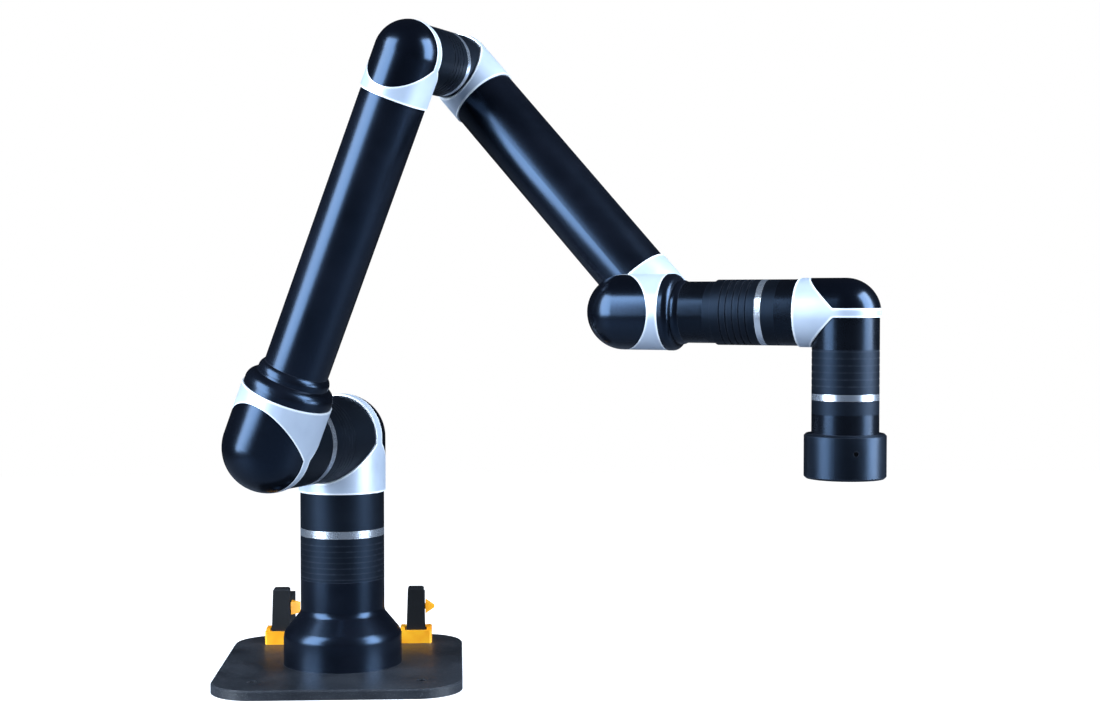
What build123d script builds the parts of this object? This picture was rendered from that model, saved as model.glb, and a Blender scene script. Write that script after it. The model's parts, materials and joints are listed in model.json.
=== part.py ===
"""Six-axis desktop robot arm on a clamped base plate, every piece a separate solid.

Frame: origin on the underside of the base plate, at the centre of its four bolt holes,
+X to the right, +Y to the back (towards the desk clamps), +Z up. Millimetres.
"""

import os
from math import cos, radians, sin

from build123d import *

# ---- Driving dimensions -------------------------------------------------------------
# Base plate and its clamps
plate_width = 230
plate_depth = 260
plate_thickness = 9
plate_corner = 42
plate_edge_chamfer = 1.2
bolt_spacing_x = 155
bolt_spacing_y = 184
bolt_hole_radius = 4.5
clamp_x = 68
desk_thickness = 25

# Column under the first joint
column_y = -6
shoulder_height = 217
bell_radius = 56.5

# Arm lengths, from elbow centre to elbow centre
shoulder_offset = 126
upper_arm_length = 369.5
elbow_offset = 92
forearm_length = 296
wrist_offset = 94
wrist_length = 182.5
flange_length = 127

# Resting pose: yaw of the arm's plane, and angles in that plane from straight up
base_yaw = -27.4
upper_arm_angle = 22.9
forearm_angle = 137.6
wrist_angle = 90

# Radii of the three sizes of elbow and of joint housing
large_elbow = 41.5
medium_elbow = 30.4
small_elbow = 26.8
large_housing = 40
medium_housing = 28.8
small_housing = 25.8
tube_radius = 29.2
tube_wall = 2.5
flange_radius = 31.5

# Plain edge of each size of elbow, from the elbow's centre
elbow_edges = {large_elbow: 51.5, medium_elbow: 38.8, small_elbow: 35.4}

# Shared proportions
strip_ratio = 0.13
large_wall = 4
small_wall = 3
joint_gap = 0.4
drive_gap = 0.5
hub_ratio = 0.5
bore_ratio = 0.2
motor_ratio = 0.8
motor_share = 0.55
wedge_reach = 1.5
mitre_clearance = 2.6
small_mitre_clearance = 0.8

# Cooling grooves: deep ones on the elbow and wrist joints, faint ones elsewhere
groove_pitch = 5.3
groove_width = 1.4
groove_depth = 0.6
faint_width = 0.7
faint_depth = 0.25
column_groove_count = 7
shoulder_groove_count = 5
elbow_groove_count = 4
roll_groove_count = 5
tool_groove_count = 6

# Tool flange: 50 mm pitch circle, four M6 threads, 31.5 mm pilot, 6 mm dowel
flange_pitch_radius = 25
flange_thread_count = 4
flange_thread_start = 45
flange_thread_radius = 2.5
flange_thread_depth = 10
pilot_radius = 15.75
pilot_depth = 6
dowel_radius = 3

os.makedirs("parts", exist_ok=True)

# ---- Directions and centres at rest ---------------------------------------------------
up = Vector(0, 0, 1)
forward = Vector(cos(radians(base_yaw)), sin(radians(base_yaw)), 0)
sideways = Vector(-sin(radians(base_yaw)), cos(radians(base_yaw)), 0)


def in_plane(angle):
    """Direction in the arm's plane, at an angle from straight up towards forward."""
    return forward * sin(radians(angle)) + up * cos(radians(angle))


upper_direction = in_plane(upper_arm_angle)
forearm_direction = in_plane(forearm_angle)
wrist_direction = in_plane(wrist_angle)

shoulder_a = Vector(0, column_y, plate_thickness + shoulder_height)
shoulder_b = shoulder_a - sideways * shoulder_offset
elbow_c = shoulder_b + upper_direction * upper_arm_length
elbow_d = elbow_c + sideways * elbow_offset
wrist_e1 = elbow_d + forearm_direction * forearm_length
wrist_e2 = wrist_e1 - sideways * wrist_offset
wrist_f = wrist_e2 + wrist_direction * wrist_length
flange_face = wrist_f - up * flange_length


def save(piece, name):
    """Label a finished piece and write it as its own STEP file."""
    piece.part.label = name
    export_step(piece.part, f"parts/{name}.step")


def elbow_frame(centre, stub, across):
    """Elbow plane: +Z along the stub cylinder, +X along the cylinder that crosses it."""
    return Plane(origin=centre, x_dir=across, z_dir=stub)


def section_of(frame):
    """The plane of an axis and its radius: local X is radial, local Y runs along the axis."""
    return Plane(origin=frame.origin, x_dir=frame.x_dir, z_dir=-frame.y_dir)


def axis_of(frame):
    return Axis(frame.origin, frame.z_dir)


def across_of(frame):
    """The plane whose +Z is the elbow's crossing axis."""
    return Plane(origin=frame.origin, x_dir=frame.y_dir, z_dir=frame.x_dir)


def wedge(frame, outline, reach):
    """Keep only what lies inside an outline drawn in the elbow's section plane."""
    with BuildSketch(section_of(frame)) as kept:
        with BuildLine():
            Polyline(*outline, close=True)
        make_face()
    extrude(kept.sketch, amount=reach, both=True, mode=Mode.INTERSECT)


def elbow_shell(frame, radius, wall):
    """Stub cylinder closed by a half sphere, open at its plain edge."""
    edge = elbow_edges[radius]
    bore = radius - wall
    with BuildSketch(section_of(frame)) as shell:
        with BuildLine():
            Line((radius, 0), (radius, edge))
            Line((radius, edge), (bore, edge))
            Line((bore, edge), (bore, 0))
            CenterArc((0, 0), bore, 0, -90)
            Line((0, -bore), (0, -radius))
            CenterArc((0, 0), radius, -90, 90)
        make_face()
    revolve(shell.sketch, axis=axis_of(frame))


def build_elbow(frame, radius, wall, name):
    """Bright Y-shaped casting and the black dome cap that closes its outer side."""
    strip = radius * strip_ratio
    reach = radius * wedge_reach
    with BuildPart() as casting:
        elbow_shell(frame, radius, wall)
        middle = [(-reach, reach), (-strip, strip), (-strip, -reach)]
        middle += [(strip, -reach), (strip, strip), (reach, reach)]
        wedge(frame, middle, reach)
    save(casting, f"{name}_casting")
    with BuildPart() as cap:
        elbow_shell(frame, radius, wall)
        outside = [(-strip, strip), (-strip, -reach), (-reach, -reach), (-reach, reach)]
        wedge(frame, outside, reach)
    save(cap, f"{name}_dome_cap")


def ring_body(plane, outer, inner, length):
    """Plain tube standing on a plane."""
    with BuildSketch(plane) as ring:
        Circle(outer)
        Circle(inner, mode=Mode.SUBTRACT)
    extrude(ring.sketch, amount=length)


def cut_grooves(plane, radius, first, count, width=groove_width, depth=groove_depth):
    """Cooling grooves turned into a housing, counted along the plane's normal."""
    for index in range(count):
        with BuildSketch(plane.offset(first + index * groove_pitch)) as groove:
            Circle(radius + depth)
            Circle(radius - depth, mode=Mode.SUBTRACT)
        extrude(groove.sketch, amount=width, mode=Mode.SUBTRACT)


def mitre_outline(radius, length):
    """The crossing cylinder's side of the elbow's mitre, out to a length."""
    strip = radius * strip_ratio
    reach = radius * wedge_reach
    outline = [(strip, -reach), (strip, strip), (reach, reach)]
    return outline + [(length + reach, reach), (length + reach, -reach)]


def build_stator(
    frame, elbow, housing, length, name, first, count, width=groove_width, depth=groove_depth
):
    """Fixed housing of a joint, cut to the elbow's mitre, with its cooling grooves."""
    across = across_of(frame)
    with BuildPart() as stator:
        ring_body(across, housing, housing - small_wall, length)
        wedge(frame, mitre_outline(elbow, length), elbow * wedge_reach)
        cut_grooves(across, housing, first, count, width, depth)
    save(stator, f"{name}_housing")


def build_ring(plane, housing, length, name):
    """Bright ring that closes the fixed side of a joint."""
    with BuildPart() as ring:
        ring_body(plane, housing, housing - small_wall, length)
    save(ring, f"{name}_ring")


def build_drive(plane, housing, start, end, name):
    """Motor and strain wave gear as one sealed cartridge with a hollow shaft."""
    seat = housing - small_wall
    motor = seat * motor_ratio
    bore = housing * bore_ratio
    middle = start + (end - start) * motor_share
    with BuildPart() as drive:
        with BuildSketch(section_of(plane)):
            with BuildLine():
                Polyline(
                    (bore, start),
                    (motor, start),
                    (motor, middle),
                    (seat, middle),
                    (seat, end),
                    (bore, end),
                    close=True,
                )
            make_face()
        revolve(axis=axis_of(plane))
    save(drive, f"{name}_drive")


def output_hub(plane, housing, ring_length):
    """End disc of a turning housing, with the hub that reaches back through the ring."""
    bore = housing * bore_ratio
    ring_body(plane, housing, bore, large_wall)
    ring_body(plane, housing * hub_ratio, bore, -(ring_length + joint_gap - drive_gap))


def build_crossing_output(frame, elbow, housing, length, ring_length, name):
    """Turning housing that meets the next elbow at its mitre."""
    across = across_of(frame)
    face = Plane(origin=across.origin + across.z_dir * length, x_dir=across.x_dir, z_dir=-across.z_dir)
    with BuildPart() as output:
        ring_body(across, housing, housing - small_wall, length)
        output_hub(face, housing, ring_length)
        wedge(frame, mitre_outline(elbow, length + ring_length), elbow * wedge_reach)
    save(output, f"{name}_output")


def build_straight_output(plane, housing, length, ring_length, name):
    """Turning housing that meets the next elbow at its plain edge."""
    with BuildPart() as output:
        ring_body(plane, housing, housing - small_wall, length)
        output_hub(plane, housing, ring_length)
    save(output, f"{name}_output")


# ---- Base plate ---------------------------------------------------------------------------
foot_screw_count = 6
foot_screw_start = 20
foot_screw_pitch_radius = 47
foot_screw_radius = 2.5
foot_head_radius = 4.6
foot_head_height = 5
foot_screw_length = 18

with BuildPart() as base_plate:
    with BuildSketch():
        RectangleRounded(plate_width, plate_depth, plate_corner)
    extrude(amount=plate_thickness)
    chamfer(base_plate.faces().sort_by(Axis.Z)[-1].edges(), plate_edge_chamfer)
    with Locations((0, 0, plate_thickness)):
        with GridLocations(bolt_spacing_x, bolt_spacing_y, 2, 2):
            Hole(bolt_hole_radius)
    with Locations((0, column_y, plate_thickness)):
        with PolarLocations(foot_screw_pitch_radius, foot_screw_count, start_angle=foot_screw_start):
            Hole(foot_screw_radius)
    with BuildSketch():
        with Locations((0, column_y)):
            with PolarLocations(foot_screw_pitch_radius, foot_screw_count, start_angle=foot_screw_start):
                Circle(foot_head_radius + drive_gap)
    extrude(amount=foot_head_height, mode=Mode.SUBTRACT)
save(base_plate, "base_plate")

with BuildPart() as foot_screws:
    with BuildSketch():
        with Locations((0, column_y)):
            with PolarLocations(foot_screw_pitch_radius, foot_screw_count, start_angle=foot_screw_start):
                Circle(foot_screw_radius)
    extrude(amount=foot_screw_length)
    with BuildSketch(Plane.XY.offset(joint_gap)):
        with Locations((0, column_y)):
            with PolarLocations(foot_screw_pitch_radius, foot_screw_count, start_angle=foot_screw_start):
                Circle(foot_head_radius)
    extrude(amount=foot_head_height - joint_gap)
save(foot_screws, "foot_screws")

# ---- Column: flared bell, first joint's housing, ring and drive ----------------------------
bell_foot = 20
bell_shoulder_z = 30
bell_shoulder_round = 14
column_fillet = 9
column_start_z = 50
first_drive_start = 71
column_joint_z = 82
ring_start_z = 123.5
large_ring = 7
bell_bore = large_housing - large_wall
socket_z = 13
socket_radius = 7
socket_flange_radius = 10.5
socket_mouth = 4.2
socket_seat = 53.5

column_plane = Plane(origin=(0, column_y, plate_thickness), x_dir=forward, z_dir=up)

with BuildPart() as bell:
    ring_body(column_plane, bell_radius, bell_bore, bell_foot)
    with BuildSketch(section_of(column_plane)) as bell_profile:
        with BuildLine():
            Polyline(
                (bell_bore, 0),
                (bell_radius, 0),
                (bell_radius, bell_shoulder_z),
                (large_housing, column_start_z),
                (large_housing, column_joint_z),
                (bell_bore, column_joint_z),
                close=True,
            )
        make_face()
        shoulder = bell_profile.vertices().sort_by_distance((bell_radius, bell_shoulder_z))[0]
        fillet(shoulder, bell_shoulder_round)
        waist = bell_profile.vertices().sort_by_distance((large_housing, column_start_z))[0]
        fillet(waist, column_fillet)
    revolve(axis=axis_of(column_plane))
    with BuildSketch():
        with Locations((0, column_y)):
            with PolarLocations(foot_screw_pitch_radius, foot_screw_count, start_angle=foot_screw_start):
                Circle(foot_screw_radius)
    extrude(amount=foot_screw_length, mode=Mode.SUBTRACT)
    socket_plane = Plane(
        origin=(0, column_y, plate_thickness + socket_z), x_dir=(1, 0, 0), z_dir=(0, 1, 0)
    )
    with BuildSketch(socket_plane):
        Circle(socket_radius)
    extrude(amount=bell_radius, mode=Mode.SUBTRACT)
    with BuildSketch(socket_plane.offset(socket_seat)):
        Circle(socket_flange_radius + drive_gap)
    extrude(amount=bell_radius, mode=Mode.SUBTRACT)
save(bell, "column_bell")

with BuildPart() as cable_socket:
    ring_body(socket_plane.offset(bell_bore), socket_radius, socket_mouth, socket_seat - bell_bore)
    ring_body(socket_plane.offset(socket_seat), socket_flange_radius, socket_mouth, large_wall)
    with BuildSketch(socket_plane.offset(bell_bore)):
        Circle(socket_radius)
    extrude(amount=large_wall)
save(cable_socket, "cable_socket")

with BuildPart() as first_housing:
    first_start = column_plane.offset(column_joint_z)
    ring_body(first_start, large_housing, large_housing - small_wall, ring_start_z - column_joint_z)
    cut_grooves(
        first_start, large_housing, groove_pitch / 2, column_groove_count, faint_width, faint_depth
    )
save(first_housing, "joint1_housing")
build_ring(column_plane.offset(ring_start_z), large_housing, large_ring, "joint1")
build_drive(column_plane, large_housing, first_drive_start, ring_start_z - drive_gap, "joint1")

# ---- Shoulder: turning collar, elbow A and the second joint's fixed side --------------------
a_frame = elbow_frame(shoulder_a, -up, -sideways)
large_edge = elbow_edges[large_elbow]
first_output_length = shoulder_height - ring_start_z - large_ring - joint_gap - large_edge
first_output_plane = column_plane.offset(ring_start_z + large_ring + joint_gap)
build_straight_output(first_output_plane, large_housing, first_output_length, large_ring, "joint1")
build_elbow(a_frame, large_elbow, large_wall, "shoulder_elbow")

second_output_length = large_elbow + mitre_clearance
second_housing_length = shoulder_offset - second_output_length - joint_gap - large_ring
build_stator(
    a_frame,
    large_elbow,
    large_housing,
    second_housing_length,
    "joint2",
    large_elbow,
    shoulder_groove_count,
    faint_width,
    faint_depth,
)
second_plane = across_of(a_frame)
build_ring(second_plane.offset(second_housing_length), large_housing, large_ring, "joint2")
build_drive(second_plane, large_housing, large_elbow / 2, second_housing_length - drive_gap, "joint2")

# ---- Upper arm: elbow B, flared collar, tube, elbow C and the third joint's fixed side -------
collar_base = 40.5
collar_length = 25
collar_flange = 4
upper_step = 0.3
wrist_step = 0.2
collar_lower_share = 0.6
collar_upper_share = 0.68
collar_swell = 0.62
collar_bulge = 0.75
medium_ring = 5.4

b_frame = elbow_frame(shoulder_b, upper_direction, sideways)
c_frame = elbow_frame(elbow_c, -upper_direction, sideways)
medium_edge = elbow_edges[medium_elbow]
build_crossing_output(b_frame, large_elbow, large_housing, second_output_length, large_ring, "joint2")
build_elbow(b_frame, large_elbow, large_wall, "upper_arm_lower_elbow")


def build_collar(plane, base_radius, top_radius, length, flange, step, name):
    """Collar between a large elbow and a slimmer tube: two rounded shoulders, one above the other."""
    bore = top_radius - small_wall
    step_radius = top_radius + (base_radius - top_radius) * step
    lower_top = length * collar_lower_share
    upper_foot = length * collar_upper_share
    low_radius = base_radius * collar_bulge + step_radius * (1 - collar_bulge)
    high_radius = step_radius * collar_bulge + top_radius * (1 - collar_bulge)
    low_swell = low_radius, flange + (lower_top - flange) * collar_swell
    high_swell = high_radius, upper_foot + (length - upper_foot) * collar_swell
    with BuildPart() as collar:
        with BuildSketch(section_of(plane)) as profile:
            with BuildLine():
                Polyline((bore, length), (bore, 0), (base_radius, 0), (base_radius, flange))
                ThreePointArc((base_radius, flange), low_swell, (step_radius, lower_top))
                Line((step_radius, lower_top), (step_radius, upper_foot))
                ThreePointArc((step_radius, upper_foot), high_swell, (top_radius, length))
                Line((top_radius, length), (bore, length))
            make_face()
        revolve(profile.sketch, axis=axis_of(plane))
    save(collar, name)


def build_tube(plane, length, name):
    with BuildPart() as tube:
        ring_body(plane, tube_radius, tube_radius - tube_wall, length)
    save(tube, name)


b_stub = Plane(origin=b_frame.origin + b_frame.z_dir * large_edge, x_dir=b_frame.x_dir, z_dir=b_frame.z_dir)
build_collar(b_stub, collar_base, tube_radius, collar_length, collar_flange, upper_step, "upper_arm_collar")
upper_tube_length = upper_arm_length - large_edge - collar_length - medium_edge
build_tube(b_stub.offset(collar_length), upper_tube_length, "upper_arm_tube")
build_elbow(c_frame, medium_elbow, small_wall, "upper_arm_upper_elbow")

third_output_length = medium_elbow + small_mitre_clearance
third_housing_length = elbow_offset - third_output_length - joint_gap - medium_ring
build_stator(
    c_frame,
    medium_elbow,
    medium_housing,
    third_housing_length,
    "joint3",
    medium_elbow,
    elbow_groove_count,
)
third_plane = across_of(c_frame)
build_ring(third_plane.offset(third_housing_length), medium_housing, medium_ring, "joint3")
build_drive(third_plane, medium_housing, medium_elbow / 2, third_housing_length - drive_gap, "joint3")

# ---- Forearm: elbow D, tube, elbow E1 and the fourth joint's fixed side -----------------------
d_frame = elbow_frame(elbow_d, forearm_direction, -sideways)
e1_frame = elbow_frame(wrist_e1, -forearm_direction, -sideways)
build_crossing_output(d_frame, medium_elbow, medium_housing, third_output_length, medium_ring, "joint3")
build_elbow(d_frame, medium_elbow, small_wall, "forearm_upper_elbow")
forearm_start = Plane(
    origin=d_frame.origin + d_frame.z_dir * medium_edge, x_dir=d_frame.x_dir, z_dir=d_frame.z_dir
)
build_tube(forearm_start, forearm_length - 2 * medium_edge, "forearm_tube")
build_elbow(e1_frame, medium_elbow, small_wall, "forearm_lower_elbow")

fourth_housing_length = wrist_offset - third_output_length - joint_gap - medium_ring
build_stator(
    e1_frame,
    medium_elbow,
    medium_housing,
    fourth_housing_length,
    "joint4",
    medium_elbow,
    elbow_groove_count,
)
fourth_plane = across_of(e1_frame)
build_ring(fourth_plane.offset(fourth_housing_length), medium_housing, medium_ring, "joint4")
build_drive(fourth_plane, medium_housing, medium_elbow / 2, fourth_housing_length - drive_gap, "joint4")

# ---- First wrist link: elbow E2, collar and the fifth joint's housing --------------------------
neck_radius = 24.4
wrist_collar_base = 30.7
wrist_collar_length = 15
wrist_collar_flange = 3.5
neck_end = 80.5
fifth_grooves = 88
fifth_ring_start = 117
small_ring = 4.8

e2_frame = elbow_frame(wrist_e2, wrist_direction, sideways)
build_crossing_output(e2_frame, medium_elbow, medium_housing, third_output_length, medium_ring, "joint4")
build_elbow(e2_frame, medium_elbow, small_wall, "wrist_elbow")
e2_stub = Plane(
    origin=e2_frame.origin + e2_frame.z_dir * medium_edge, x_dir=e2_frame.x_dir, z_dir=e2_frame.z_dir
)
build_collar(
    e2_stub,
    wrist_collar_base,
    neck_radius,
    wrist_collar_length,
    wrist_collar_flange,
    wrist_step,
    "wrist_collar",
)

fifth_start = medium_edge + wrist_collar_length
neck_length = neck_end - fifth_start
fifth_housing_length = fifth_ring_start - neck_end
with BuildPart() as fifth_housing:
    neck_plane = Plane(origin=e2_frame.origin, x_dir=e2_frame.x_dir, z_dir=e2_frame.z_dir)
    ring_body(neck_plane.offset(fifth_start), neck_radius, neck_radius - small_wall, neck_length)
    ring_body(neck_plane.offset(neck_end), small_housing, small_housing - small_wall, fifth_housing_length)
    cut_grooves(neck_plane, small_housing, fifth_grooves, roll_groove_count)
save(fifth_housing, "joint5_housing")
build_ring(neck_plane.offset(fifth_ring_start), small_housing, small_ring, "joint5")
build_drive(neck_plane, small_housing, neck_end + small_wall, fifth_ring_start - drive_gap, "joint5")

# ---- Second wrist link: elbow F and the sixth joint's fixed side --------------------------------
sixth_ring_start = 62
sixth_grooves = 28.8

f_frame = elbow_frame(wrist_f, -wrist_direction, -up)
small_edge = elbow_edges[small_elbow]
fifth_output_length = wrist_length - fifth_ring_start - small_ring - joint_gap - small_edge
fifth_output_plane = neck_plane.offset(fifth_ring_start + small_ring + joint_gap)
build_straight_output(fifth_output_plane, small_housing, fifth_output_length, small_ring, "joint5")
build_elbow(f_frame, small_elbow, small_wall, "tool_elbow")
build_stator(
    f_frame,
    small_elbow,
    small_housing,
    sixth_ring_start,
    "joint6",
    sixth_grooves,
    tool_groove_count,
    faint_width,
    faint_depth,
)
tool_plane = across_of(f_frame)
build_ring(tool_plane.offset(sixth_ring_start), small_housing, small_ring, "joint6")
build_drive(tool_plane, small_housing, small_elbow / 2, sixth_ring_start - drive_gap, "joint6")

# ---- Tool side: turning housing, flange cup and its grub screw ----------------------------------
cup_height = 34.5
cup_floor = 14
cup_chamfer = 1.6
grub_radius = 2
grub_height = 21
grub_angle = 30
grub_length = 6
grub_socket_radius = 1
grub_socket_depth = 3
grub_recess = 1

cup_bore = small_housing - small_wall
cup_start = flange_length - cup_height
sixth_output_start = sixth_ring_start + small_ring + joint_gap
sixth_output_plane = tool_plane.offset(sixth_output_start)
sixth_output_length = cup_start - sixth_output_start
build_straight_output(sixth_output_plane, small_housing, sixth_output_length, small_ring, "joint6")

with BuildPart() as tool_flange:
    cup_plane = tool_plane.offset(cup_start)
    with BuildSketch(cup_plane):
        Circle(flange_radius)
    extrude(amount=cup_height)
    rims = tool_flange.edges().filter_by(GeomType.CIRCLE)
    chamfer(rims, cup_chamfer)
    with BuildSketch(cup_plane):
        Circle(cup_bore)
    extrude(amount=cup_height - cup_floor, mode=Mode.SUBTRACT)
    face_plane = tool_plane.offset(flange_length - pilot_depth)
    with BuildSketch(face_plane):
        Circle(pilot_radius)
    extrude(amount=pilot_depth, mode=Mode.SUBTRACT)
    with BuildSketch(tool_plane.offset(flange_length - flange_thread_depth)):
        with PolarLocations(flange_pitch_radius, flange_thread_count, start_angle=flange_thread_start):
            Circle(flange_thread_radius)
    extrude(amount=flange_thread_depth, mode=Mode.SUBTRACT)
    with BuildSketch(tool_plane.offset(flange_length - pilot_depth)):
        with Locations((flange_pitch_radius, 0)):
            Circle(dowel_radius)
    extrude(amount=pilot_depth, mode=Mode.SUBTRACT)
    grub_outward = -sideways * cos(radians(grub_angle)) + forward * sin(radians(grub_angle))
    grub_centre = cup_plane.origin - up * (cup_height - grub_height)
    grub_plane = Plane(origin=grub_centre, x_dir=up, z_dir=grub_outward)
    with BuildSketch(grub_plane.offset(cup_bore - grub_recess)):
        Circle(grub_radius)
    extrude(amount=flange_radius, mode=Mode.SUBTRACT)
save(tool_flange, "tool_flange")

with BuildPart() as grub_screw:
    with BuildSketch(grub_plane.offset(cup_bore)):
        Circle(grub_radius)
    extrude(amount=grub_length)
    with BuildSketch(grub_plane.offset(cup_bore + grub_length - grub_socket_depth)):
        RegularPolygon(grub_socket_radius, 6)
    extrude(amount=grub_socket_depth, mode=Mode.SUBTRACT)
save(grub_screw, "flange_grub_screw")

# ---- Desk clamps at the plate's back edge ----------------------------------------------------------
pad_width = 32
pad_front = 79
pad_length = 34
pad_height = 13
pad_corner = 2
cheek_width = 4
cheek_height = 3
cheek_length = 16
cheek_inset = 3
head_width = 16
head_foot_width = 19
head_front = 82
head_depth = 15
head_top = 56
arm_top = 42
arm_back = 154
head_chamfer = 1.5
bar_width = 6
bar_front = 134
bar_length = 14
bar_bottom = -78
bar_top = 36
jaw_drop = 10
jaw_height = 26
slide_gap = 0.3
knob_y = 90
knob_z = 36
knob_length = 9
knob_base = 13
knob_tip_width = 11
knob_tip_thickness = 1.2
knob_shaft = 3

clamp_sides = {"left": -clamp_x, "right": clamp_x}
bar_middle = bar_front + bar_length / 2
jaw_top = -desk_thickness - jaw_drop


def clamp_block(x, width, front, back, low, high):
    """Block across a clamp's centre line, between two heights."""
    with BuildSketch(Plane.XY.offset(low)) as block:
        with Locations((x, (front + back) / 2)):
            Rectangle(width, back - front)
    extrude(block.sketch, amount=high - low)


def clamp_slot(x, gap, low, high):
    """Slot that the steel bar passes through, with a gap all round."""
    with BuildSketch(Plane.XY.offset(low)) as slot:
        with Locations((x, bar_middle)):
            Rectangle(bar_width + 2 * gap, bar_length + 2 * gap)
    extrude(slot.sketch, amount=high - low, mode=Mode.SUBTRACT)


def knob_plane(x, out):
    """Plane across a knob's own axis, at a distance outside the clamp head's side."""
    origin = (x + head_foot_width / 2 + out, knob_y, plate_thickness + knob_z)
    return Plane(origin=origin, x_dir=(0, 1, 0), z_dir=(1, 0, 0))


for side, x in clamp_sides.items():
    pad_top = plate_thickness + pad_height
    with BuildPart() as head:
        with BuildSketch(Plane.XZ.offset(-head_front - head_depth)):
            with BuildLine():
                Polyline(
                    (x - head_foot_width / 2, pad_top),
                    (x - head_width / 2, plate_thickness + head_top),
                    (x + head_width / 2, plate_thickness + head_top),
                    (x + head_foot_width / 2, pad_top),
                    close=True,
                )
            make_face()
        extrude(amount=head_depth)
        chamfer(head.faces().sort_by(Axis.Z)[-1].edges(), head_chamfer)
        clamp_block(x, head_width, head_front, arm_back, pad_top, plate_thickness + arm_top)
        clamp_slot(x, 0, pad_top, plate_thickness + bar_top)
        with BuildSketch(knob_plane(x, -head_width)):
            Circle(knob_shaft + slide_gap)
        extrude(amount=head_foot_width, mode=Mode.SUBTRACT)
    save(head, f"clamp_head_{side}")

    with BuildPart() as pad:
        clamp_block(x, pad_width, pad_front, pad_front + pad_length, plate_thickness, pad_top)
        chamfer(pad.edges().filter_by(Axis.Z), pad_corner)
        for cheek in (-1, 1):
            cheek_x = x + cheek * (pad_width / 2 - cheek_inset)
            cheek_front = pad_front + cheek_width
            cheek_back = cheek_front + cheek_length
            clamp_block(cheek_x, cheek_width, cheek_front, cheek_back, pad_top, pad_top + cheek_height)
    save(pad, f"clamp_pad_{side}")

    with BuildPart() as bar:
        clamp_block(x, bar_width, bar_front, bar_front + bar_length, bar_bottom, plate_thickness + bar_top)
    save(bar, f"clamp_bar_{side}")

    with BuildPart() as jaw:
        clamp_block(x, head_width, head_front, arm_back, jaw_top - jaw_height, jaw_top)
        chamfer(jaw.faces().sort_by(Axis.Z)[0].edges(), head_chamfer)
        clamp_slot(x, slide_gap, jaw_top - jaw_height, jaw_top)
    save(jaw, f"clamp_jaw_{side}")

    with BuildPart() as lower_pad:
        clamp_block(x, pad_width, pad_front, pad_front + pad_length, jaw_top, jaw_top + jaw_drop)
        chamfer(lower_pad.edges().filter_by(Axis.Z), pad_corner)
    save(lower_pad, f"clamp_jaw_pad_{side}")

    tip = [knob_tip_thickness, knob_tip_width]
    if side == "right":
        tip.reverse()
    with BuildPart() as knob:
        with BuildSketch(knob_plane(x, slide_gap)):
            Rectangle(knob_base, knob_base)
        with BuildSketch(knob_plane(x, slide_gap + knob_length)):
            Rectangle(*tip)
        loft()
        with BuildSketch(knob_plane(x, slide_gap - head_width / 2)):
            Circle(knob_shaft)
        extrude(amount=head_width / 2)
    save(knob, f"clamp_knob_{side}")
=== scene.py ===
"""Six-axis desktop robot arm: finishes, desk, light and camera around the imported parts.

Metres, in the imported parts' own frame: +X right, +Y back towards the desk clamps, +Z up, and the
underside of the base plate at zero.
"""

from collections import namedtuple
from math import radians

import bpy
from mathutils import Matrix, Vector
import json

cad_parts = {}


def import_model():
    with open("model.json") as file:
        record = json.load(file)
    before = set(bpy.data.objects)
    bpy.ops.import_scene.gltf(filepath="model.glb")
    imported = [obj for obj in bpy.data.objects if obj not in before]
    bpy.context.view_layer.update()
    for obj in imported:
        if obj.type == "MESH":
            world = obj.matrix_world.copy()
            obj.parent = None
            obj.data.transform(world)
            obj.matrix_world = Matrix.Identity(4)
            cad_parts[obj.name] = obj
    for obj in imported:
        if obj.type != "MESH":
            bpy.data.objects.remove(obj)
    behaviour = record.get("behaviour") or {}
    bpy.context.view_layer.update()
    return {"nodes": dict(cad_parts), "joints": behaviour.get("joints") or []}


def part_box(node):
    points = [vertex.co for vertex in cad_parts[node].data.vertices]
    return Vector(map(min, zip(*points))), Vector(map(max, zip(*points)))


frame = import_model()
nodes = frame["nodes"]
joints = {joint["name"]: joint for joint in frame["joints"]}

# Colours, linear RGB
INK = (0.0018, 0.0024, 0.0042)
INK_LIGHT = (0.0034, 0.0042, 0.0070)
CAP_INK = (0.0014, 0.0018, 0.0032)
SATIN_INK = (0.0016, 0.0020, 0.0030)
SATIN_LIGHT = (0.0030, 0.0036, 0.0052)
PLATE = (0.0075, 0.0090, 0.0120)
PLATE_LIGHT = (0.0165, 0.0190, 0.0240)
SILVER = (0.42, 0.48, 0.57)
SILVER_LIGHT = (0.51, 0.57, 0.66)
RING = (0.72, 0.75, 0.80)
STEEL = (0.30, 0.31, 0.33)
STEEL_LIGHT = (0.45, 0.46, 0.48)
AMBER = (0.86, 0.27, 0.004)
AMBER_LIGHT = (1.0, 0.50, 0.02)
RUBBER = (0.0022, 0.0024, 0.0030)
BARE = (0.05, 0.055, 0.07)
WHITE = (0.98, 0.99, 1.0)
BLUE_GLOSS = (0.40, 0.63, 1.0, 1.0)

# Noise scales, per metre
CLOUD_SCALE = 22.0
PATCH_SCALE = 140.0
SPECK_SCALE = 1500.0
TURNING_SCALE = 2600.0

# Noise values between which an effect goes from none to full
CLOUD_RANGE = (0.35, 0.65)
PATCH_RANGE = (0.40, 0.65)
SMEAR_RANGE = (0.45, 0.9)
SPECK_RANGE = (0.66, 0.72)

# Strengths and depths of the surface detail
GRAIN_SMEAR = 0.35
GRAIN_RELIEF = 0.6
TURNING_RELIEF = 0.5
TURNING_DEPTH = 0.00004
SPECK_STRENGTH = 0.5
HOUSING_SPECULAR = 0.26

# Rubbed edges, and the painted highlight along the castings' edges: width of the edge, and the
# cosines at which the edge colour starts and is full
EDGE_RADIUS = 0.0006
CAST_HIGHLIGHT_RADIUS = 0.0032
EDGE_START = 0.9997
EDGE_FULL = 0.98

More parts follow.
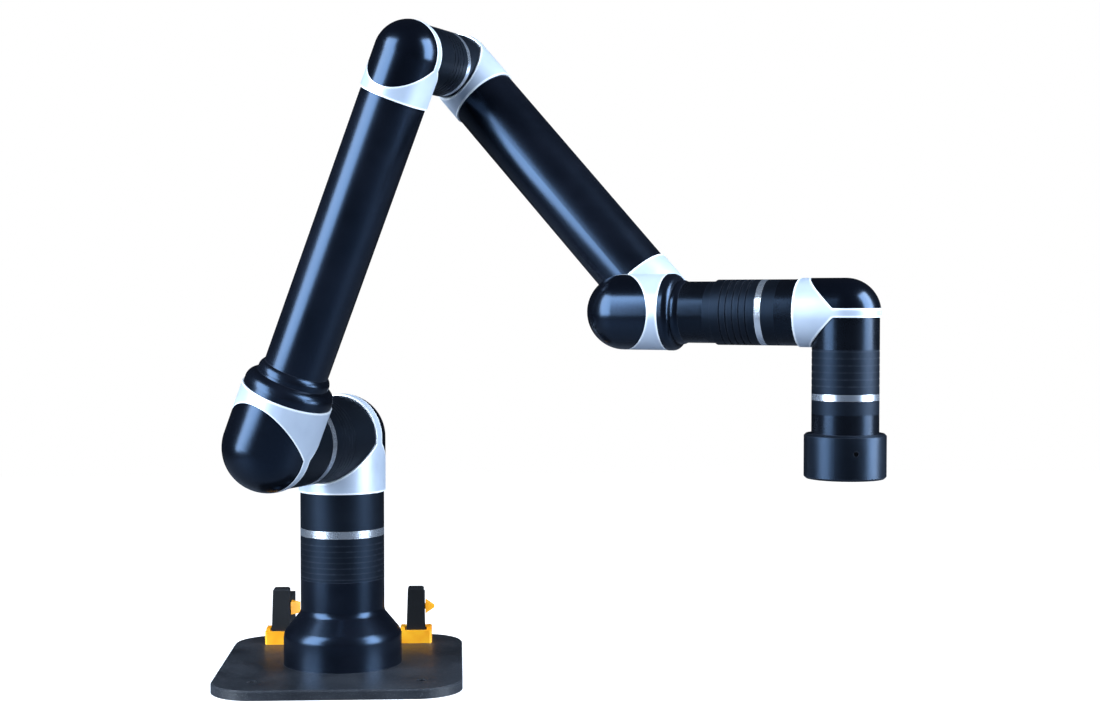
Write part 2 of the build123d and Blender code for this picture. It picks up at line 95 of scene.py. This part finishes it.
# Glossier stretches of the wrist housings, along the axis from the joint's origin
ROLL_GLOSSY = ((-0.2, -0.0485), (0.010, 0.1))
TOOL_GLOSSY = ((-0.2, -0.0395), (0.010, 0.1))
GLOSSY_DROP = 0.2

# Stage
DESK_THICKNESS = 0.0245
DESK_MARGIN = 0.02
DESK_GAP = 0.0004
BAR_GAP = 0.004
PLINTH_LOW = (-0.09, -0.11)
PLINTH_HIGH = (0.09, 0.05)
FLOOR = -0.42
FLOOR_REACH = 6.0
FLOOR_THICKNESS = 0.02
STAGE_ROUGHNESS = 0.6
STAGE_SEEN = (0.9, 0.9, 0.9)
STAGE_REFLECTED = (0.10, 0.11, 0.13)
DESK_GLOW = 0.55
FLOOR_GLOW = 1.0
REFLECTED_GLOW = 0.015

# Light: each lamp's name, place, size, power in watts, and whether it shows as a reflection
ROOM_SEEN = (1.0, 1.0, 1.0)
ROOM_REFLECTED = (0.013, 0.016, 0.023)
COOL = (0.70, 0.83, 1.0)
MIDDLE = (0.12, -0.1, 0.33)
LAMPS = (
    ("left_box", (-1.55, -0.95, 0.95), (1.3, 2.0), 140.0, True),
    ("right_box", (1.85, -0.85, 0.95), (1.1, 2.0), 135.0, True),
    ("top", (0.1, -0.4, 2.4), (1.8, 1.4), 22.0, False),
    ("back_left", (-1.5, 1.9, 1.2), (1.0, 1.8), 25.0, False),
    ("back_right", (1.7, 1.9, 1.2), (1.0, 1.8), 25.0, False),
)

# Camera, fitted to the photograph's viewpoint; degrees and millimetres of lens
CAMERA_PLACE = (0.1106, -1.6823, 0.3585)
CAMERA_TILT = 87.935
CAMERA_TURN = -3.05
LENS = 56.99
SENSOR = 36.0

Surface = namedtuple("Surface", "material tree shader place gloss")


# ---- Shader building blocks ------------------------------------------------------------
def add(tree, kind, **inputs):
    """New shader node with the given input values; underscores stand for spaces."""
    node = tree.nodes.new(kind)
    for name, value in inputs.items():
        node.inputs[name.replace("_", " ")].default_value = value
    return node


def start_material(name):
    """New node material and its node tree and shader."""
    material = bpy.data.materials.new(name)
    material.use_nodes = True
    tree = material.node_tree
    return material, tree, tree.nodes["Principled BSDF"]


def noise(tree, place, scale, detail=3.0):
    """Noise between 0 and 1 at a place."""
    texture = add(tree, "ShaderNodeTexNoise", Scale=scale, Detail=detail, Roughness=0.6)
    tree.links.new(place, texture.inputs["Vector"])
    return texture.outputs["Fac"]


def remap(tree, value, low, high, out_low, out_high):
    """Value stretched from one range to another, and held at its ends."""
    node = add(
        tree, "ShaderNodeMapRange", From_Min=low, From_Max=high, To_Min=out_low, To_Max=out_high)
    tree.links.new(value, node.inputs["Value"])
    return node.outputs["Result"]


def math_node(tree, operation, first, second):
    """Arithmetic or a comparison on two sockets or numbers."""
    node = tree.nodes.new("ShaderNodeMath")
    node.operation = operation
    for index, value in enumerate((first, second)):
        if isinstance(value, (int, float)):
            node.inputs[index].default_value = value
        else:
            tree.links.new(value, node.inputs[index])
    return node.outputs["Value"]


def mix_colour(tree, factor, first, second):
    """Blend of two colours, each a socket or a tuple."""
    node = tree.nodes.new("ShaderNodeMix")
    node.data_type = "RGBA"
    tree.links.new(factor, node.inputs["Factor"])
    # The colour sockets share their names with the number ones, so they go by index.
    for socket, value in ((node.inputs[6], first), (node.inputs[7], second)):
        if isinstance(value, tuple):
            socket.default_value = (*value, 1.0)
        else:
            tree.links.new(value, socket)
    return node.outputs[2]


def dot_product(tree, vector):
    """Dot product node with its first vector linked."""
    node = tree.nodes.new("ShaderNodeVectorMath")
    node.operation = "DOT_PRODUCT"
    tree.links.new(vector, node.inputs[0])
    return node


def edge_mask(tree, radius):
    """One near sharp edges, zero on open surfaces."""
    bevel = add(tree, "ShaderNodeBevel", Radius=radius)
    bevel.samples = 8
    geometry = tree.nodes.new("ShaderNodeNewGeometry")
    product = dot_product(tree, bevel.outputs["Normal"])
    tree.links.new(geometry.outputs["Normal"], product.inputs[1])
    return remap(tree, product.outputs["Value"], EDGE_START, EDGE_FULL, 0.0, 1.0)


def along(tree, place, origin, axis):
    """Distance from a point, measured along an axis."""
    product = dot_product(tree, place)
    product.inputs[1].default_value = axis
    return math_node(tree, "SUBTRACT", product.outputs["Value"], Vector(origin).dot(Vector(axis)))


def bump(tree, shader, height, distance, strength):
    """Relief of the given depth, linked to the shader's normal."""
    node = add(tree, "ShaderNodeBump", Strength=strength, Distance=distance)
    tree.links.new(height, node.inputs["Height"])
    tree.links.new(node.outputs["Normal"], shader.inputs["Normal"])


# ---- Materials ----------------------------------------------------------------------------
def finish_surface(
    name, colours, wear_colour, roughness, spread, grain, depth=None,
    metallic=0.0, wear=0.35, edge=EDGE_RADIUS
):
    """Base of every finish: mottled colour, uneven gloss, fine grain and a second colour at the
    edges, lightly rubbed edges on most finishes and a painted highlight on the castings.

    Roughness varies by spread either way. Grain is a noise scale, with its relief's depth in
    metres; without a depth the grain shows in the gloss only. The edge strength is the most that an
    edge shows, as rubbed paint or metal on most finishes and as a painted highlight on the
    castings.
    """
    material, tree, shader = start_material(name)
    place = tree.nodes.new("ShaderNodeTexCoord").outputs["Object"]
    cloud = noise(tree, place, CLOUD_SCALE)
    fine = noise(tree, place, grain, 2.0)
    base = mix_colour(tree, remap(tree, cloud, *CLOUD_RANGE, 0.0, 1.0), *colours)
    # Edge colour: rubbed edges on most finishes, a painted highlight along the castings' edges.
    patches = remap(tree, noise(tree, place, PATCH_SCALE), *PATCH_RANGE, wear * wear, wear)
    wear_and_highlight_mask = math_node(tree, "MULTIPLY", edge_mask(tree, edge), patches)
    tree.links.new(mix_colour(tree, wear_and_highlight_mask, base, wear_colour), shader.inputs["Base Color"])
    smear = math_node(tree, "ADD", cloud, math_node(tree, "MULTIPLY", fine, GRAIN_SMEAR))
    gloss = remap(tree, smear, *SMEAR_RANGE, roughness - spread, roughness + spread)
    tree.links.new(gloss, shader.inputs["Roughness"])
    shader.inputs["Metallic"].default_value = metallic
    if depth:
        bump(tree, shader, fine, depth, GRAIN_RELIEF)
    return Surface(material, tree, shader, place, gloss)


def plain(name, colours, wear_colour, **finish):
    """Finish that needs nothing beyond the base."""
    return finish_surface(name, colours, wear_colour, **finish).material


def blue_black(name, colours, **finish):
    """Black finish whose highlights are tinted blue."""
    surface = finish_surface(name, colours, BARE, **finish)
    surface.shader.inputs["Specular Tint"].default_value = BLUE_GLOSS
    return surface


def satin_housing(name, joint_name, glossy=()):
    """Satin black housing with fine turning marks round its joint's axis."""
    material, tree, shader, place, roughness = blue_black(
        name, (SATIN_INK, SATIN_LIGHT), roughness=0.47, spread=0.04, grain=1100.0)
    shader.inputs["Specular IOR Level"].default_value = HOUSING_SPECULAR
    joint = joints[joint_name]
    distance = along(tree, place, joint["pos_m"], joint["axis"])
    marks = add(tree, "ShaderNodeTexNoise", Scale=TURNING_SCALE, Detail=2.0)
    marks.noise_dimensions = "1D"
    tree.links.new(distance, marks.inputs["W"])
    bump(tree, shader, marks.outputs["Fac"], TURNING_DEPTH, TURNING_RELIEF)
    for low, high in glossy:
        above = math_node(tree, "GREATER_THAN", distance, low)
        below = math_node(tree, "LESS_THAN", distance, high)
        inside = math_node(tree, "MULTIPLY", above, below)
        drop = math_node(tree, "MULTIPLY", inside, GLOSSY_DROP)
        roughness = math_node(tree, "SUBTRACT", roughness, drop)
    tree.links.new(roughness, shader.inputs["Roughness"])
    return material


def speckled_plate():
    """Dark powder coat with light specks."""
    material, tree, shader, place, _ = finish_surface(
        "speckled_plate", (PLATE, PLATE_LIGHT), BARE,
        roughness=0.42, spread=0.07, grain=520.0, depth=0.00012, wear=0.5)
    specks = remap(tree, noise(tree, place, SPECK_SCALE, 1.0), *SPECK_RANGE, 0.0, SPECK_STRENGTH)
    base = shader.inputs["Base Color"].links[0].from_socket
    tree.links.new(mix_colour(tree, specks, base, STEEL), shader.inputs["Base Color"])
    return material


GLOSS = blue_black(
    "gloss_black_paint", (INK, INK_LIGHT),
    roughness=0.25, spread=0.02, grain=900.0, depth=0.000012).material
CAP = blue_black(
    "gloss_cap", (CAP_INK, INK),
    roughness=0.21, spread=0.02, grain=700.0, depth=0.000008, wear=0.15).material
# The white at the castings' edges is a painted highlight, not rubbed metal.
CAST = plain(
    "cast_silver", (SILVER, SILVER_LIGHT), WHITE, roughness=0.38, spread=0.05, grain=1300.0,
    depth=0.00004, metallic=0.3, wear=0.95, edge=CAST_HIGHLIGHT_RADIUS)
BRIGHT = plain(
    "bright_ring", (RING, SILVER_LIGHT), WHITE, roughness=0.26, spread=0.05, grain=1600.0,
    depth=0.00002, metallic=0.9, wear=0.6)
FLANGE = blue_black(
    "satin_flange", (SATIN_INK, SATIN_LIGHT),
    roughness=0.36, spread=0.04, grain=900.0, depth=0.00003).material
AMBER_PLASTIC = plain(
    "amber_plastic", (AMBER, AMBER_LIGHT), AMBER_LIGHT,
    roughness=0.42, spread=0.06, grain=800.0, depth=0.00005)
CLAMP_BLACK = plain(
    "clamp_black", (RUBBER, SATIN_INK), BARE,
    roughness=0.5, spread=0.06, grain=600.0, depth=0.00008)
SOCKET_BLACK = plain(
    "socket_black", (RUBBER, SATIN_INK), BARE,
    roughness=0.6, spread=0.05, grain=700.0, depth=0.00005)
BRUSHED = plain(
    "brushed_steel", (STEEL, STEEL_LIGHT), WHITE, roughness=0.32, spread=0.08, grain=1400.0,
    depth=0.00004, metallic=1.0, wear=0.5)
SCREW = plain(
    "dark_screw", (BARE, STEEL), WHITE, roughness=0.38, spread=0.06, grain=1200.0,
    depth=0.00003, metallic=0.9, wear=0.5)
SPECKLED = speckled_plate()
HOUSINGS = {
    "joint1": satin_housing("housing_column", "base_turn"),
    "joint2": satin_housing("housing_shoulder", "shoulder_lift"),
    "joint3": satin_housing("housing_elbow", "elbow_bend"),
    "joint4": satin_housing("housing_wrist", "wrist_bend"),
    "joint5": satin_housing("housing_roll", "wrist_roll", ROLL_GLOSSY),
    "joint6": satin_housing("housing_tool", "tool_turn", TOOL_GLOSSY),
}

# Finish by a word in the node's name; the first that fits is taken.
FINISHES = (
    ("_casting", CAST),
    ("_dome_cap", CAP),
    ("_ring", BRIGHT),
    ("_drive", BRUSHED),
    ("_tube", GLOSS),
    ("_collar", GLOSS),
    ("_bell", GLOSS),
    ("_screw", SCREW),
    ("_socket", SOCKET_BLACK),
    ("_plate", SPECKLED),
    ("tool_flange", FLANGE),
    ("clamp_pad", AMBER_PLASTIC),
    ("jaw_pad", AMBER_PLASTIC),
    ("clamp_knob", AMBER_PLASTIC),
    ("clamp_bar", BRUSHED),
    ("clamp_", CLAMP_BLACK),
)


def material_for(name):
    """Finish of a CAD node, from what its name says it is."""
    joint = name.split("_")[0]
    if joint in HOUSINGS and name.endswith(("_housing", "_output")):
        return HOUSINGS[joint]
    for part, material in FINISHES:
        if part in name:
            return material
    raise ValueError(name)


def dress(name, thing):
    """Finish and smooth shading for one CAD node."""
    thing.data.materials.clear()
    thing.data.materials.append(material_for(name))
    for face in thing.data.polygons:
        face.use_smooth = True


for node_name, node in nodes.items():
    dress(node_name, node)


# ---- Desk, light and camera ----------------------------------------------------------------
def stage_material(name, glow):
    """White with its own glow for the camera, dark grey for what it reflects into."""
    material, tree, shader = start_material(name)
    shader.inputs["Roughness"].default_value = STAGE_ROUGHNESS
    rays = tree.nodes.new("ShaderNodeLightPath").outputs["Is Camera Ray"]
    tree.links.new(mix_colour(tree, rays, STAGE_REFLECTED, STAGE_SEEN), shader.inputs["Base Color"])
    shader.inputs["Emission Color"].default_value = (1.0, 1.0, 1.0, 1.0)
    tree.links.new(
        remap(tree, rays, 0.0, 1.0, REFLECTED_GLOW, glow), shader.inputs["Emission Strength"])
    return material


def stage_block(name, low, high, material):
    """Plain box between two corners, in the given material."""
    bpy.ops.mesh.primitive_cube_add(size=1)
    block = bpy.context.object
    block.name = name
    block.scale = Vector(high) - Vector(low)
    block.location = (Vector(high) + Vector(low)) / 2
    block.data.materials.append(material)


def desk():
    """Small desk top between the clamps' jaws, on a plinth that stands on the floor."""
    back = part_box("clamp_bar_left")[0].y - BAR_GAP
    plate_low, plate_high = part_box("base_plate")
    white = stage_material("desk_white", DESK_GLOW)
    top = -DESK_GAP
    under = top - DESK_THICKNESS
    desk_low = (plate_low.x - DESK_MARGIN, plate_low.y - DESK_MARGIN, under)
    desk_high = (plate_high.x + DESK_MARGIN, back, top)
    stage_block("desk_top", desk_low, desk_high, white)
    stage_block("plinth", (*PLINTH_LOW, FLOOR), (*PLINTH_HIGH, under), white)
    floor_low = (-FLOOR_REACH, -FLOOR_REACH, FLOOR - FLOOR_THICKNESS)
    floor_high = (FLOOR_REACH, FLOOR_REACH, FLOOR)
    stage_block("floor", floor_low, floor_high, stage_material("floor_white", FLOOR_GLOW))


def world():
    """White to the camera, a dim cool room to everything else."""
    scene_world = bpy.data.worlds.new("room")
    bpy.context.scene.world = scene_world
    scene_world.use_nodes = True
    tree = scene_world.node_tree
    back = tree.nodes["Background"]
    rays = tree.nodes.new("ShaderNodeLightPath").outputs["Is Camera Ray"]
    tree.links.new(mix_colour(tree, rays, ROOM_REFLECTED, ROOM_SEEN), back.inputs["Color"])
    back.inputs["Strength"].default_value = 1.0
    bpy.context.scene.view_settings.view_transform = "Standard"


def softbox(name, place, size, power, mirrored):
    """Rectangular lamp aimed at the arm; a mirrored one also shows as a reflection."""
    light = bpy.data.lights.new(name, "AREA")
    light.shape = "RECTANGLE"
    light.size, light.size_y = size
    light.energy = power
    light.color = COOL
    lamp = bpy.data.objects.new(name, light)
    bpy.context.scene.collection.objects.link(lamp)
    lamp.visible_glossy = mirrored
    lamp.location = place
    aim = Vector(MIDDLE) - Vector(place)
    lamp.rotation_euler = aim.to_track_quat("-Z", "Y").to_euler()


def place_camera():
    """Camera at the photograph's viewpoint."""
    camera = bpy.data.cameras.new("camera")
    camera.lens = LENS
    camera.sensor_width = SENSOR
    viewer = bpy.data.objects.new("camera", camera)
    bpy.context.scene.collection.objects.link(viewer)
    viewer.location = CAMERA_PLACE
    viewer.rotation_euler = (radians(CAMERA_TILT), 0.0, radians(CAMERA_TURN))
    bpy.context.scene.camera = viewer


world()
desk()
for lamp_values in LAMPS:
    softbox(*lamp_values)
place_camera()
